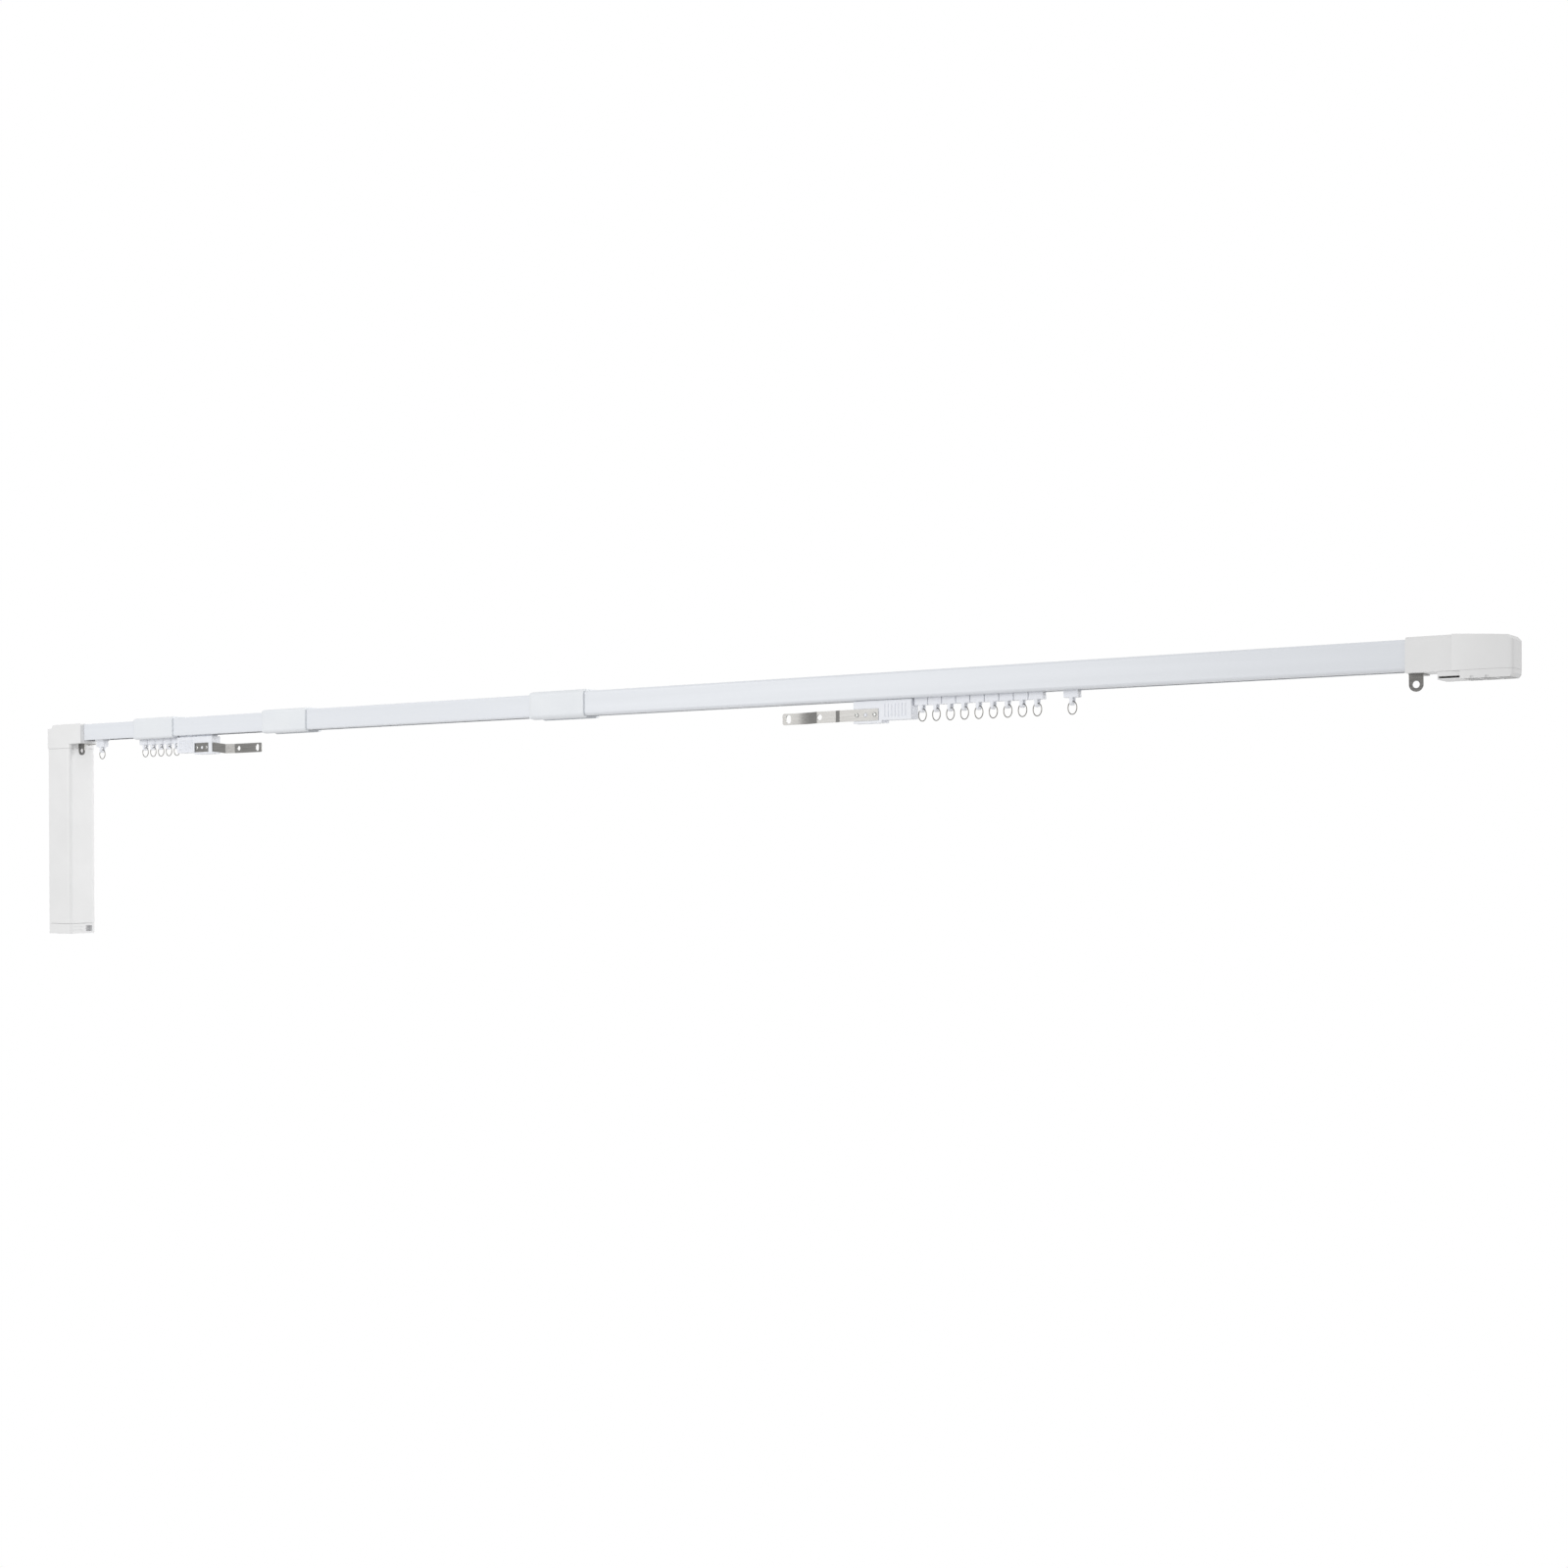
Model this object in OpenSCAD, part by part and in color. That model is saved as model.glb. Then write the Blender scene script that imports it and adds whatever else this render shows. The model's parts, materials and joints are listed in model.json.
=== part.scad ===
// Electric curtain track: four telescoping rails, a belt drive with a hanging motor at the left,
// an idler at the right, two carriers with hook arms, and gliders with rings.
// X runs along the track, the front faces -Y, and the origin is on top of the outer rail, at its middle.

/* [Rails] */
// Height of the outer rail
outer_h = 27; // [26:0.5:34]
// Width of the outer rail
outer_w = 25; // [24:0.5:34]
// Length of the outer rail
outer_len = 1010; // [900:10:1400]
// Length of each of the three inner rails
section_len = 700; // [600:10:800]
// Sheet thickness of the rails
rail_wall = 0.6; // [0.5:0.05:0.8]
// Running gap between one rail and the next
rail_gap = 0.3; // [0.2:0.05:0.4]
// Corner radius of the outer rail
rail_r = 3; // [2.8:0.1:6]
// Width of the slot under the outer rail
slot_w = 8; // [7.8:0.1:9]
// How far the lips of each inner rail stop short of the next rail's lips
slot_step = 1.2; // [1:0.1:1.3]
// Length of the second rail that is inside the outer rail
second_overlap = 254; // [150:1:400]
// Length of the third rail that is inside the second rail
third_overlap = 448; // [150:1:500]
// Length of the inner rail that is inside the third rail
inner_overlap = 566; // [150:1:600]

/* [Collars] */
// Length of a collar
collar_len = 80; // [60:1:100]
// Wall of a collar outside its rail
collar_wall = 2.2; // [1.6:0.1:3]
// Thickness of the collar's mouth, past the end of its rail
collar_mouth = 5; // [4:0.5:8]
// Length of the ramp round the mouth
collar_ramp = 5; // [3:0.5:8]
// Width of the gap under a collar, which the carriers pass through
collar_slot = 16; // [15:0.5:17]

/* [Idler end] */
// Length of the idler housing
idler_len = 89.5; // [88:0.1:110]
// Length of its neck, which holds the outer rail
idler_neck = 39.2; // [32:0.1:44]
// Length of the outer rail inside the neck
idler_grip = 25.2; // [20:0.1:30]
// Wall of the neck
idler_wall = 1.9; // [1.5:0.1:3]
// How far the sides of the idler housing's body bulge out
idler_bulge = 2; // [1:0.1:4]
// Depth of the base below the housing
idler_base_drop = 7; // [6:0.5:9]

/* [Drive end] */
// Width of the motor casing along the track
tube_x = 48; // [44:1:60]
// Width of the motor casing across the track
tube_y = 42; // [40:1:56]
// Radius of the casing's upright edges
tube_r = 5; // [4:0.5:12]
// Wall of the casing
tube_wall = 2.2; // [1.6:0.1:3]
// Height of the casing below the drive head
tube_len = 238.5; // [210:0.5:280]
// Height of the bottom cap
cap_h = 14; // [12:0.5:18]
// Width of the drive head where it holds the inner rail
head_w = 31; // [28:0.5:40]
// Height of the drive head
head_h = 32.3; // [31:0.1:40]
// How far the drive head stands above the inner rail
head_rise = 1; // [0.5:0.1:2]
// Depth of the drive head's neck below the inner rail
head_neck_drop = 4; // [3:0.1:5]
// Length of the inner rail inside the drive head
head_grip = 22.7; // [16:0.1:30]
// Distance from the end of the inner rail to the drive pulley's axis
drive_gap = 26; // [22:0.5:34]

/* [Belt and pulleys] */
// Width of the belt
belt_h = 8; // [6:0.5:9]
// Thickness of the belt
belt_t = 1.4; // [1:0.1:2]
// Radius of the drive shaft
shaft_r = 3; // [2:0.1:3.5]
// Radius of the idler's axle
axle_r = 2.5; // [2:0.1:3]
// Number of teeth on the drive pulley
pulley_teeth = 13; // [9:1:18]

/* [Carriers] */
// Length of a carrier
carrier_len = 68.5; // [64:0.5:90]
// Width of a carrier under the rail
carrier_w = 14; // [12:0.5:14]
// Depth of the carrier's plate block below the rail
plate_drop = 22.5; // [21:0.5:28]
// Depth of the carrier's ribbed block below the rail
rib_drop = 20; // [18:0.5:24]
// Distance from the outer rail's left end to the right carrier
right_carrier_at = 424; // [400:1:460]
// Distance from the inner rail's left end to the left carrier
left_carrier_at = 211.5; // [190:0.5:260]

/* [Arms] */
// Width of the arm's steel strip
arm_w = 11.8; // [10:0.1:12.5]
// Thickness of the steel strip
arm_t = 1.2; // [0.8:0.1:1.5]
// Free length of the right arm
right_arm_len = 92.5; // [86:0.5:100]
// Free length of the left arm
left_arm_len = 89; // [80:0.5:100]
// Radius of the arm's round hole
arm_hole_r = 3; // [2:0.1:3.4]
// How far the right arm's end is set back by its bend
right_arm_back = 7; // [6.5:0.1:8]
// How far the left arm's end is set back by its bend
left_arm_back = 3; // [2:0.1:3.4]
// How far the left arm dips beside its carrier
left_arm_dip = 3; // [0:0.5:4]

/* [Gliders] */
// Distance between gliders that are pushed together
glider_pitch = 15.9; // [15.9:0.1:20]
// Length of a glider's head inside the rail
glider_head_len = 15.5; // [13:0.1:15.5]
// Length of a glider's block below the rail
glider_block_len = 15; // [12:0.1:15]
// Width of a glider's block, which passes through the slot
glider_block_w = 7.4; // [6:0.1:7.4]
// Depth of the block below the outer rail
glider_block_drop = 7; // [6:0.1:8]
// Depth of the ring's eye below the outer rail
eye_drop = 9.4; // [9.4:0.1:12]
// Radius of the eye
eye_r = 2.1; // [1.9:0.05:2.2]
// Radius of the ring at the middle of its wire
ring_r = 6.2; // [5.6:0.1:6.6]
// Radius of the ring's wire
ring_wire_r = 0.5; // [0.4:0.05:0.6]
// Number of gliders in the right row
right_row = 9; // [6:1:12]
// Number of gliders in the left row
left_row = 5; // [3:1:5]
// Distance from the right row to the single glider near the end
right_single_gap = 37; // [34:1:60]
// Distance from the inner rail's left end to the single left glider
left_single_at = 49; // [47:1:70]

/* [End brackets] */
// Width of a bracket's tab
tab_w = 12.3; // [11:0.1:15]
// Depth of the tab's hole below its flange
tab_hole_drop = 9.3; // [8:0.1:12]
// Radius of the tab's hole
tab_hole_r = 3.1; // [2:0.1:4]
// Sheet thickness of a bracket
bracket_t = 1.2; // [0.8:0.1:1.6]

/* [Hidden] */
$fn = 48;
// Clearances and small allowances that the fits share
run_gap = 0.3;
seat_gap = 0.1;
shaft_gap = 0.05;
cut = 1;

rail_step = rail_wall + rail_gap;
inner_rail_index = 3;
outer_x0 = -outer_len / 2;
outer_x1 = outer_len / 2;
second_x0 = outer_x0 + second_overlap - section_len;
third_x0 = second_x0 + third_overlap - section_len;
inner_x0 = third_x0 + inner_overlap - section_len;

// Each rail is set in from the outer one by a step on every side
function rail_w(i) = outer_w - 2 * i * rail_step;
function rail_top(i) = -i * rail_step;
function rail_bottom(i) = -outer_h + i * rail_step;
function rail_corner(i) = max(0.3, rail_r - i * rail_step);
function lip_top(i) = rail_bottom(i) + rail_wall;
function slot_half(i) = slot_w / 2 + i * slot_step;

// The lips step up and back from rail to rail, so a head with sloping sides rides level in all of them
head_slope = rail_step / slot_step;
function head_side(y) = lip_top(0) + run_gap + head_slope * (y - slot_w / 2);
inner_half = rail_w(inner_rail_index) / 2 - rail_wall;
head_half = inner_half - 0.8;
head_edge = 2.3;
head_top = head_side(head_half) + head_edge;
head_corner = 3;

// The belt runs above the heads, inside the inner rail's side walls
belt_side_gap = 1.4;
belt_out = inner_half - belt_side_gap;
belt_in = belt_out - belt_t;
belt_z0 = head_top + 3;
belt_z1 = belt_z0 + belt_h;
pulley_r = belt_in - run_gap;
flange_r = belt_out + 0.8;
flange_t = 1.5;
pulley_z0 = belt_z0 - run_gap - flange_t;
pulley_z1 = belt_z1 + run_gap + flange_t;
chamber_gap = 1.5;

// Drive head and motor
motor_x = inner_x0 - drive_gap;
head_x1 = inner_x0 + head_grip;
head_z1 = rail_top(inner_rail_index) + head_rise;
head_z0 = head_z1 - head_h;
head_neck_z0 = rail_bottom(inner_rail_index) - head_neck_drop;
tube_mid_y = (tube_y - head_w) / 2;
head_ledge = [9, 13.5, 5];
casing_roof = 3;
tube_z0 = head_z0 - tube_len;
seam_gap = 0.4;
cap_z0 = tube_z0 - cap_h;
cap_spigot = 6;
shaft_depth = 16;
gearbox_r = min(tube_x, tube_y) / 2 - tube_wall - 1.3;
gearbox_len = 64;
motor_can_r = gearbox_r - 1.5;
motor_can_len = 105;
inlet = [9, 13, 11];
inlet_mid_y = tube_mid_y + tube_y / 2 - tube_r - inlet[1] / 2;
inlet_socket = [6, 10, 8];
cap_groove = [0.6, 17, 0.8];

// Idler end
neck_x0 = outer_x1 - idler_grip;
neck_x1 = neck_x0 + idler_neck;
housing_x1 = neck_x0 + idler_len;
housing_z1 = idler_wall;
housing_z0 = -outer_h - idler_wall;
neck_half = outer_w / 2 + idler_wall;
idler_proud = 0.3;
idler_shell = 2.4;
idler_chamfer = [4, 4];
idler_fall = 3.2;
idler_edge_r = 3;
idler_corner = 3.6;
idler_half = neck_half + idler_proud + idler_bulge;
idler_mid_x = (neck_x1 + housing_x1) / 2;
idler_bulge_r = (pow((housing_x1 - neck_x1) / 2, 2) + pow(idler_bulge, 2)) / (2 * idler_bulge);
idler_end_x = housing_x1 - idler_corner;
function bulge_half(x) = idler_half - idler_bulge_r + sqrt(pow(idler_bulge_r, 2) - pow(x - idler_mid_x, 2));
idler_open_x0 = neck_x1 + 2 + idler_shell;
idler_cavity_x0 = neck_x1 - 2;
idler_cavity_z1 = pulley_z1 + run_gap;
idler_x = idler_cavity_x0 + flange_r + chamber_gap + 12;
axle_seat = 6;
base_plug_t = 3;
base_inset = 0.2;
base_x0 = neck_x1 + 7;
base_z0 = housing_z0 - idler_base_drop;
base_z1 = housing_z0 - seat_gap;
base_foot = [neck_x1 - 12, neck_half - 0.6];
base_slot_wall = 0.8;
base_round = 3;
base_slot_z = [base_z0 + 1, base_z0 + 2.8];
base_rib_t = 1.6;
base_pockets = 3;
base_notch = [3, 1.2, 1.8];
base_notches = [8.5, 21];

// Carriers, measured from the arm's end of each
carrier_top = -outer_h - 0.4;
plate_block_len = carrier_len / 2;
right_plate = [0, 30];
left_plate = [6.7, 34];
plate_mid_z = carrier_top - plate_drop + 8.4;
right_plate_front = -carrier_w / 2 - 0.4;
left_plate_front = -carrier_w / 2 + 1.2;
carrier_head_inset = 2;
clamp_x = [20, 50];
clamp_outer = inner_half - run_gap;
clamp_inner = belt_in - 3.2;
clamp_rise = 1.5;
rib_pitch = 4;
rib_groove = [1.2, 0.5];
screw_inset = 4.5;
function screw_xs(plate) = [plate[0] + screw_inset, plate[1] - screw_inset];
screw_head_r = 2.2;
screw_head_t = 1.4;
screw_r = 1.2;
screw_len = 6;
plate_hole_r = 2.1;
right_carrier_x = outer_x0 + right_carrier_at;
left_carrier_x = inner_x0 + left_carrier_at + carrier_len;

// Each arm: where the strip sets back and how far, from the carrier outwards, then its hole and slot
arm_step = [16, 6, 2];
right_arm_bend = [45, 38, right_arm_back];
bend_steps = 4;
left_arm_bend = [25, 14, left_arm_back];
right_hole_at = right_arm_bend[0] - arm_hole_r - 0.2;
left_hole_at = left_arm_bend[0] + left_arm_bend[1] + arm_hole_r + 4.7;
arm_slot = [6, 9];
arm_slot_inset = 7.5;
arm_corner = 1.5;

// Gliders and rings
block_half = glider_block_w / 2;
block_z0 = -outer_h - glider_block_drop;
eye_z = -outer_h - eye_drop;
foot_r = eye_r + 1.5;
foot_z0 = eye_z - 5;
foot_round = 2.4;
foot_top_len = 3.6;
foot_tip_len = 2.2;
ring_drop = eye_r - ring_wire_r - 0.55;
right_ring_yaw = -22;
left_ring_yaw = -4;
row_start = glider_head_len / 2 + 0.8;
right_row_x = right_carrier_x + carrier_len + row_start;
left_row_x = left_carrier_x - carrier_len - row_start;
right_single_x = right_row_x + (right_row - 1) * glider_pitch + right_single_gap;
left_single_x = inner_x0 + left_single_at;
right_glider_xs = [for (k = [0 : right_row - 1]) right_row_x + k * glider_pitch, right_single_x];
left_glider_xs = [for (k = [0 : left_row - 1]) left_row_x - k * glider_pitch, left_single_x];

// End brackets
tab_r = tab_w / 2;
tab_y = -4.6;
bracket_flange = [12.7, 18];
bracket_spot_r = 1.6;
bracket_spots = [1, 9];
right_bracket_x = neck_x0 + bracket_flange[0] / 2;
left_bracket_x = (motor_x + tube_x / 2 + head_x1) / 2;

rail_white = "#e3e7ec";
moulded_white = "#e2e1df";
milky_nylon = "#eef0f3";
steel = "#b5b2ac";
dark_rubber = "#3b3b3d";
socket_grey = "#c3c3c6";

// Flat shapes and ways to draw them out along an axis
module along_x(x0, len) {
    translate([x0, 0, 0]) rotate([90, 0, 90]) linear_extrude(len) children();
}

module along_y(y0, len) {
    translate([0, y0 + len, 0]) rotate([90, 0, 0]) linear_extrude(len) children();
}

module up_z(z0, z1) {
    translate([0, 0, z0]) linear_extrude(z1 - z0) children();
}

module round_rect(u0, u1, v0, v1, r) {
    translate([u0 + r, v0]) square([u1 - u0 - 2 * r, v1 - v0]);
    translate([u0, v0 + r]) square([u1 - u0, v1 - v0 - 2 * r]);
    for (u = [u0 + r, u1 - r], v = [v0 + r, v1 - r]) translate([u, v]) circle(r);
}

module rail_outline(i, grow = 0) {
    half = rail_w(i) / 2 + grow;
    round_rect(-half, half, rail_bottom(i) - grow, rail_top(i) + grow, rail_corner(i) + grow);
}

// Rails: a closed top, plain sides and two lips with the slot between them
module rail(i, x0, len) {
    color(rail_white) along_x(x0, len) difference() {
        rail_outline(i);
        rail_hollow(i);
        translate([-slot_half(i), rail_bottom(i) - cut]) square([2 * slot_half(i), rail_wall + 2 * cut]);
    }
}

module rail_hollow(i) {
    half = rail_w(i) / 2 - rail_wall;
    r = max(0.2, rail_corner(i) - rail_wall);
    round_rect(-half, half, lip_top(i), rail_top(i) - rail_wall, r);
}

// The outer rail's top is pressed down a little where the collar and the idler's neck go over it
module outer_rail() {
    press = 0.2;
    left_len = collar_len - collar_mouth + cut;
    color(rail_white) difference() {
        rail(0, outer_x0, outer_len);
        translate([outer_x0 - cut, -outer_w, -press]) cube([left_len + cut, 2 * outer_w, 2 * press]);
        translate([neck_x0 - cut, -outer_w, -press]) cube([idler_grip + 2 * cut, 2 * outer_w, 2 * press]);
    }
}

module second_rail() { rail(1, second_x0, section_len); }
module third_rail() { rail(2, third_x0, section_len); }
module inner_rail() { rail(inner_rail_index, inner_x0, section_len); }

// Collars: a sleeve over the rail's end, a mouth for the next rail and a ramp round the mouth
module collar(i, rail_x0) {
    x0 = rail_x0 - collar_mouth;
    color(moulded_white) difference() {
        intersection() {
            along_x(x0, collar_len) rail_outline(i, collar_wall);
            along_y(-outer_w, 2 * outer_w) collar_ramped(x0, rail_bottom(i), rail_top(i));
            up_z(rail_bottom(i) - 2 * collar_wall, rail_top(i) + 2 * collar_wall)
                collar_ramped(x0, -rail_w(i) / 2, rail_w(i) / 2);
        }
        along_x(rail_x0, collar_len) rail_outline(i, seat_gap);
        along_x(x0 - cut, collar_mouth + 2 * cut) rail_outline(i + 1, rail_gap);
        along_x(x0 - cut, collar_len + 2 * cut)
            translate([-collar_slot / 2, rail_bottom(i) - 2 * collar_wall])
                square([collar_slot, 3 * collar_wall]);
    }
}

module collar_ramped(x0, v0, v1) {
    low = 0.4;
    x1 = x0 + collar_len;
    polygon([
        [x0, v0 - low], [x0 + collar_ramp, v0 - collar_wall], [x1, v0 - collar_wall],
        [x1, v1 + collar_wall], [x0 + collar_ramp, v1 + collar_wall], [x0, v1 + low]
    ]);
}

module outer_collar() { collar(0, outer_x0); }
module second_collar() { collar(1, second_x0); }
module third_collar() { collar(2, third_x0); }

// Idler housing: a neck over the rail and a body with bulging sides and a blunt end, open below
module idler_plan(x0, inset) {
    r = idler_corner - inset;
    end_half = bulge_half(idler_end_x) - inset - 0.05;
    intersection() {
        translate([x0, -idler_half]) square([idler_end_x - x0, 2 * idler_half]);
        for_both_sides() circle(idler_bulge_r - inset, $fn = 240);
    }
    translate([idler_end_x - cut, r - end_half]) square([r + cut, 2 * (end_half - r)]);
    for (side = [-1, 1]) translate([idler_end_x, side * (end_half - r)]) circle(r);
}

module for_both_sides() {
    intersection() {
        translate([idler_mid_x, idler_bulge_r - idler_half]) children();
        translate([idler_mid_x, idler_half - idler_bulge_r]) children();
    }
}

// The body's top falls towards the end and is cut off at an angle there
module idler_side(z1) {
    low = housing_z0 - idler_corner;
    left = neck_x1 - idler_corner;
    fall_x = housing_x1 - idler_chamfer[0];
    fall_z = z1 - idler_fall;
    rise = idler_fall * (fall_x - left) / (fall_x - neck_x1);
    polygon([
        [left, low], [housing_x1 + idler_chamfer[0], low],
        [housing_x1 + idler_chamfer[0], fall_z - 2 * idler_chamfer[1]],
        [fall_x, fall_z], [left, fall_z + rise]
    ]);
}

module idler_neck_outline() {
    rail_outline(0, idler_wall);
    translate([-neck_half, housing_z0]) square([2 * neck_half, outer_h / 2]);
}

module idler_body() {
    top = housing_z1 + 0.1;
    side = idler_half + 1;
    intersection() {
        up_z(housing_z0, top) idler_plan(neck_x1, 0);
        along_y(-2 * idler_half, 4 * idler_half) idler_side(top);
        along_x(neck_x0, 2 * idler_len) round_rect(-side, side, 2 * housing_z0, top, idler_edge_r);
    }
}

module idler_opening(shrink) {
    idler_plan(idler_open_x0 + shrink, idler_shell + shrink);
}

module idler_housing() {
    passage = belt_out + chamber_gap;
    color(moulded_white) difference() {
        union() {
            along_x(neck_x0, idler_neck + cut) idler_neck_outline();
            idler_body();
        }
        along_x(neck_x0 - cut, idler_grip + cut) rail_outline(0, seat_gap);
        up_z(housing_z0 - cut, idler_cavity_z1) idler_opening(0);
        translate([outer_x1 - cut, -passage, pulley_z0])
            cube([idler_x - outer_x1 + cut, 2 * passage, idler_cavity_z1 - pulley_z0]);
        translate([idler_x, 0, 0]) up_z(idler_cavity_z1 - cut, idler_cavity_z1 + axle_seat) circle(axle_r + shaft_gap);
    }
}

// Base: a plug in the housing's opening, a hollowed body under it and a slotted foot under the neck
module base_side() {
    x1 = housing_x1 - base_inset;
    polygon([
        [base_foot[0] - cut, base_z0 - cut], [x1 - base_round - cut, base_z0 - cut],
        [x1 + cut, base_z0 + base_round + cut], [x1 + cut, housing_z0], [base_foot[0] - cut, housing_z0]
    ]);
}

module idler_base() {
    half = idler_half - base_inset;
    pocket_len = (housing_x1 - base_inset - base_x0 - base_rib_t) / base_pockets;
    foot_half = base_foot[1];
    color(moulded_white) difference() {
        union() {
            up_z(base_z1 - cut, housing_z0 + base_plug_t) idler_opening(seat_gap);
            intersection() {
                up_z(base_z0, base_z1) idler_plan(base_x0, base_inset);
                along_y(-2 * half, 4 * half) base_side();
            }
            translate([base_foot[0], -foot_half, base_z0])
                cube([base_x0 - base_foot[0] + cut, 2 * foot_half, base_z1 - base_z0]);
        }
        up_z(base_z0 - cut, base_z1 - 2) intersection() {
            idler_plan(base_x0 + base_rib_t, base_inset + base_notch[1] + base_rib_t);
            for (k = [0 : base_pockets - 1], side = [-1, 1])
                translate([base_x0 + base_rib_t + k * pocket_len, side > 0 ? base_rib_t / 2 : -half])
                    square([pocket_len - base_rib_t, half - base_rib_t / 2]);
        }
        translate([base_foot[0] + base_slot_wall, -foot_half - cut, base_slot_z[0]])
            cube([base_x0 - base_foot[0] - base_slot_wall, 1.5 * foot_half, base_slot_z[1] - base_slot_z[0]]);
        for (x = base_notches) translate([base_x0 + x, -half - cut, base_z0 - cut])
            cube([base_notch[0], base_notch[1] + cut, base_notch[2] + cut]);
        translate([idler_x, 0, 0]) up_z(housing_z0 + base_plug_t - 2, housing_z0 + base_plug_t + cut)
            circle(axle_r + shaft_gap);
    }
}

// Pulleys: flanged wheels that the belt wraps with a running gap
module pulley_flanges() {
    up_z(pulley_z0, pulley_z0 + flange_t) circle(flange_r);
    up_z(pulley_z1 - flange_t, pulley_z1) circle(flange_r);
}

module idler_pulley() {
    color(milky_nylon) translate([idler_x, 0, 0]) difference() {
        union() {
            pulley_flanges();
            up_z(pulley_z0, pulley_z1) circle(pulley_r);
        }
        up_z(pulley_z0 - cut, pulley_z1 + cut) circle(axle_r + shaft_gap);
    }
}

module idler_axle() {
    color(steel) translate([idler_x, 0, 0]) up_z(housing_z0 + base_plug_t - 2, idler_cavity_z1 + axle_seat)
        circle(axle_r);
}

module drive_pulley() {
    tooth_groove_r = 0.75;
    shaft_top = pulley_z1 + run_gap + 4;
    color(steel) translate([motor_x, 0, 0]) {
        pulley_flanges();
        up_z(pulley_z0 + flange_t / 2, pulley_z1 - flange_t / 2) difference() {
            circle(pulley_r);
            for (k = [0 : pulley_teeth - 1]) rotate(k * 360 / pulley_teeth)
                translate([pulley_r, 0]) circle(tooth_groove_r);
        }
        up_z(head_z0 - casing_roof - shaft_depth, shaft_top) circle(shaft_r);
    }
}

// Belt: two straight runs and a half turn round each pulley
module belt_outline(r) {
    translate([motor_x, 0]) circle(r);
    translate([idler_x, 0]) circle(r);
    translate([motor_x, -r]) square([idler_x - motor_x, 2 * r]);
}

module drive_belt() {
    color(dark_rubber) up_z(belt_z0, belt_z1) difference() {
        belt_outline(belt_out);
        belt_outline(belt_in);
    }
}

// Drive head: a box over the motor with a neck that takes the inner rail
module tube_plan(inset = 0) {
    round_rect(
        motor_x - tube_x / 2 + inset, motor_x + tube_x / 2 - inset,
        tube_mid_y - tube_y / 2 + inset, tube_mid_y + tube_y / 2 - inset,
        max(0.5, tube_r - inset)
    );
}

module drive_head_housing() {
    left = motor_x - tube_x / 2;
    passage = belt_out + chamber_gap;
    shaft_top = pulley_z1 + run_gap + 4;
    color(moulded_white) difference() {
        intersection() {
            union() {
                up_z(head_z0, head_z1) {
                    tube_plan();
                    translate([left + 2, -head_w / 2]) square([motor_x - left, tube_r]);
                    translate([left, -head_w / 2 + 2]) square([tube_r, tube_r]);
                    translate([left + 2, -head_w / 2 + 2]) circle(2);
                }
                up_z(head_neck_z0, head_z1)
                    translate([motor_x, -head_w / 2]) square([head_x1 - motor_x, head_w]);
            }
            along_y(-tube_y, 3 * tube_y) polygon([
                [left, head_z0], [head_x1, head_z0], [head_x1, head_z1],
                [left + head_ledge[1], head_z1], [left + head_ledge[0], head_z1 - head_ledge[2]],
                [left, head_z1 - head_ledge[2]]
            ]);
        }
        along_x(inner_x0, head_grip + cut) rail_outline(inner_rail_index, seat_gap);
        translate([motor_x, 0, 0]) up_z(head_z0 - cut, pulley_z1 + run_gap) circle(flange_r + chamber_gap);
        translate([motor_x, -passage, pulley_z0])
            cube([inner_x0 - motor_x + cut, 2 * passage, pulley_z1 + run_gap - pulley_z0]);
        translate([motor_x, 0, 0]) up_z(pulley_z1, shaft_top + run_gap) circle(shaft_r + shaft_gap);
    }
}

module motor_casing() {
    color(moulded_white) difference() {
        union() {
            up_z(tube_z0, head_z0 - seam_gap) tube_plan();
            up_z(head_z0 - seam_gap - cut, head_z0) tube_plan(tube_wall / 2);
        }
        up_z(tube_z0 - cut, head_z0 - casing_roof) tube_plan(tube_wall);
        translate([motor_x, 0, 0]) up_z(tube_z0, head_z0 + cut) circle(2 * shaft_r);
    }
}

// Gear motor: a gearbox whose output socket is off its middle, and the motor can below it
module gear_motor() {
    top = head_z0 - casing_roof;
    color(steel) difference() {
        translate([motor_x, tube_mid_y, 0]) {
            up_z(top - gearbox_len, top) circle(gearbox_r);
            up_z(top - gearbox_len - motor_can_len, top - gearbox_len) circle(motor_can_r);
            up_z(top - gearbox_len - motor_can_len - 5, top - gearbox_len) circle(motor_can_r / 3);
        }
        translate([motor_x, 0, 0]) up_z(top - shaft_depth - run_gap, top + cut) circle(shaft_r + shaft_gap);
    }
}

module motor_bottom_cap() {
    right = motor_x + tube_x / 2;
    mid_z = (cap_z0 + tube_z0 - seam_gap) / 2;
    color(moulded_white) difference() {
        union() {
            up_z(cap_z0, tube_z0 - seam_gap) tube_plan();
            up_z(cap_z0 + cut, tube_z0 + cap_spigot) tube_plan(tube_wall + seat_gap);
        }
        translate([right - inlet[0], inlet_mid_y - inlet[1] / 2, mid_z - inlet[2] / 2])
            cube([inlet[0] + cut, inlet[1], inlet[2]]);
        for (side = [-1, 1])
            translate([right - cap_groove[0], tube_mid_y - tube_y / 2 + tube_r, mid_z + side * 2.4])
                cube([cap_groove[0] + cut, cap_groove[1] - tube_r / 2, cap_groove[2]]);
    }
}

module power_inlet() {
    right = motor_x + tube_x / 2;
    mid_z = (cap_z0 + tube_z0 - seam_gap) / 2;
    color(socket_grey) translate([right, inlet_mid_y, mid_z]) difference() {
        translate([-inlet[0], -inlet[1] / 2, -inlet[2] / 2]) cube(inlet);
        translate([-inlet_socket[0], -inlet_socket[1] / 2, -inlet_socket[2] / 2])
            cube([inlet_socket[0] + cut, inlet_socket[1], inlet_socket[2]]);
    }
}

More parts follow.
